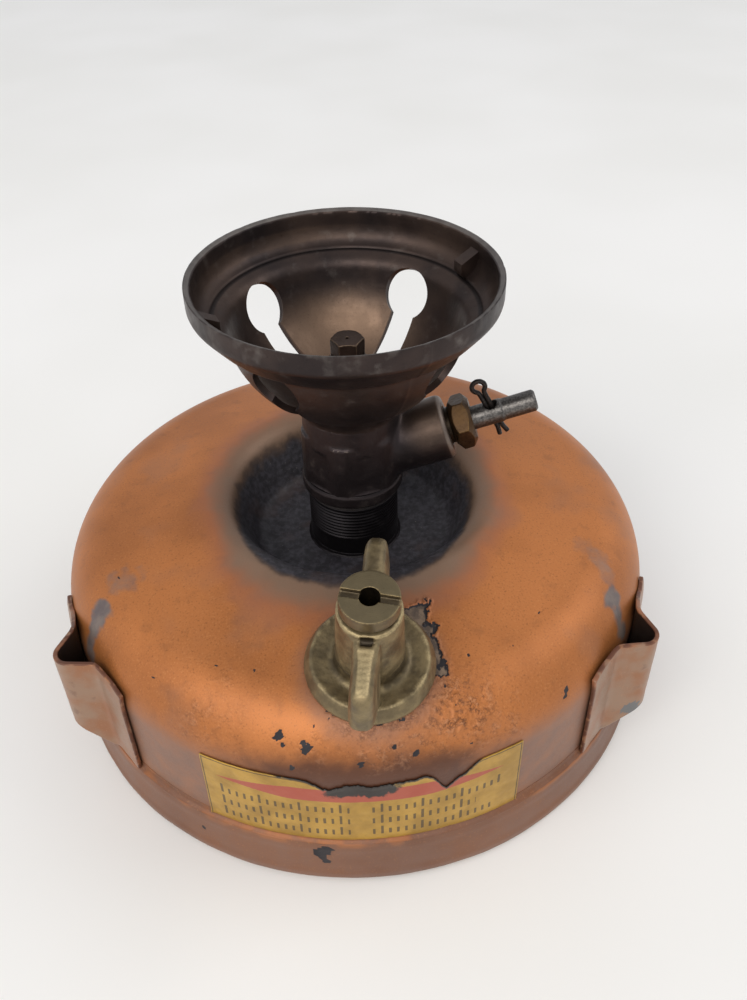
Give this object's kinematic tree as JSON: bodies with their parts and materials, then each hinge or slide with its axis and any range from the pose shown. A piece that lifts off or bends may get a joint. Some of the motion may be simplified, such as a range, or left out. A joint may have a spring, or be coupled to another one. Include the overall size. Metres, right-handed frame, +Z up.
{
  "type": "camping stove",
  "caption": "Round petrol camping stove: pressed tank with a priming pan, a bell burner with a side valve spindle, a winged filler cap with a relief valve and sheet clips.",
  "frame": {"origin": "middle of the base on the table, on the tank's axis", "axes": "+Z up along the tank's axis, -Y out through the label, +X along the valve arm's side"},
  "size_m": [0.1556, 0.1631, 0.1156],
  "materials": {
    "tank_paint": "copper metallic paint, soft sheen, worn and soot-stained",
    "base_paint": "copper metallic paint, dull and worn",
    "clip_paint": "copper metallic paint with worn bare edges",
    "label_foil": "gold printed film label with a torn upper edge",
    "burner_bronze": "heat-darkened cast bronze, satin",
    "burner_steel": "sooty blackened steel",
    "nut_brass": "tarnished brass",
    "cap_brass": "dull olive cast brass with worn edges",
    "spindle_steel": "bare steel, turned",
    "pin_steel": "black oxidised wire",
    "pipe_brass": "plain drawn brass",
    "spring_steel": "bright spring wire",
    "seal_rubber": "matte black rubber",
    "packing_cord": "graphite packing cord",
    "gasket_fibre": "pressed fibre",
    "wick_cotton": "bundled cotton strands"
  },
  "bodies": {
    "tank": {"tank_shell": "tank_paint", "tank_base": "base_paint", "clip_left": "clip_paint", "clip_right": "clip_paint", "clip_rear": "clip_paint", "label_plate": "label_foil", "filler_neck": "cap_brass", "burner_socket": "burner_steel", "feed_pipe": "pipe_brass", "wick": "wick_cotton", "burner_gasket": "gasket_fibre", "burner_body": "burner_bronze", "burner_bell": "burner_bronze", "jet": "burner_bronze", "gland_washer": "nut_brass", "gland_packing": "packing_cord", "gland_nut": "nut_brass"},
    "spindle": {"valve_spindle": "spindle_steel", "cotter_pin": "pin_steel"},
    "cap_seal": {"filler_seal": "seal_rubber"},
    "cap": {"filler_cap": "cap_brass", "relief_screw": "cap_brass", "relief_spring": "spring_steel"},
    "relief": {"relief_pin": "nut_brass", "relief_seal": "seal_rubber"}
  },
  "joints": [
    {"name": "spindle_turn", "type": "hinge", "parent": "tank", "child": "spindle", "pos_m": [0, 0, 0.06586], "axis": [0.9537, 0, 0.3007], "range_deg": [0, 540]},
    {"name": "cap_lift", "type": "slide", "parent": "tank", "child": "cap_seal", "axis": [0.0073, -0.2078, 0.9781], "range_m": [0, 0.005]},
    {"name": "cap_turn", "type": "hinge", "parent": "cap_seal", "child": "cap", "pos_m": [0.00201, -0.05756, 0.05246], "axis": [0.0073, -0.2078, 0.9781], "range_deg": [0, 1200]},
    {"name": "relief_lift", "type": "slide", "parent": "cap", "child": "relief", "axis": [0.0073, -0.2078, 0.9781], "range_m": [0, 0.0012], "stiffness_N_per_m": 800, "springref_m": -0.004, "deforming": ["relief_spring"]}
  ],
  "couplings": [
    {"joint": "cap_turn", "follows": "cap_lift", "rad_per_m": 4188.7}
  ]
}
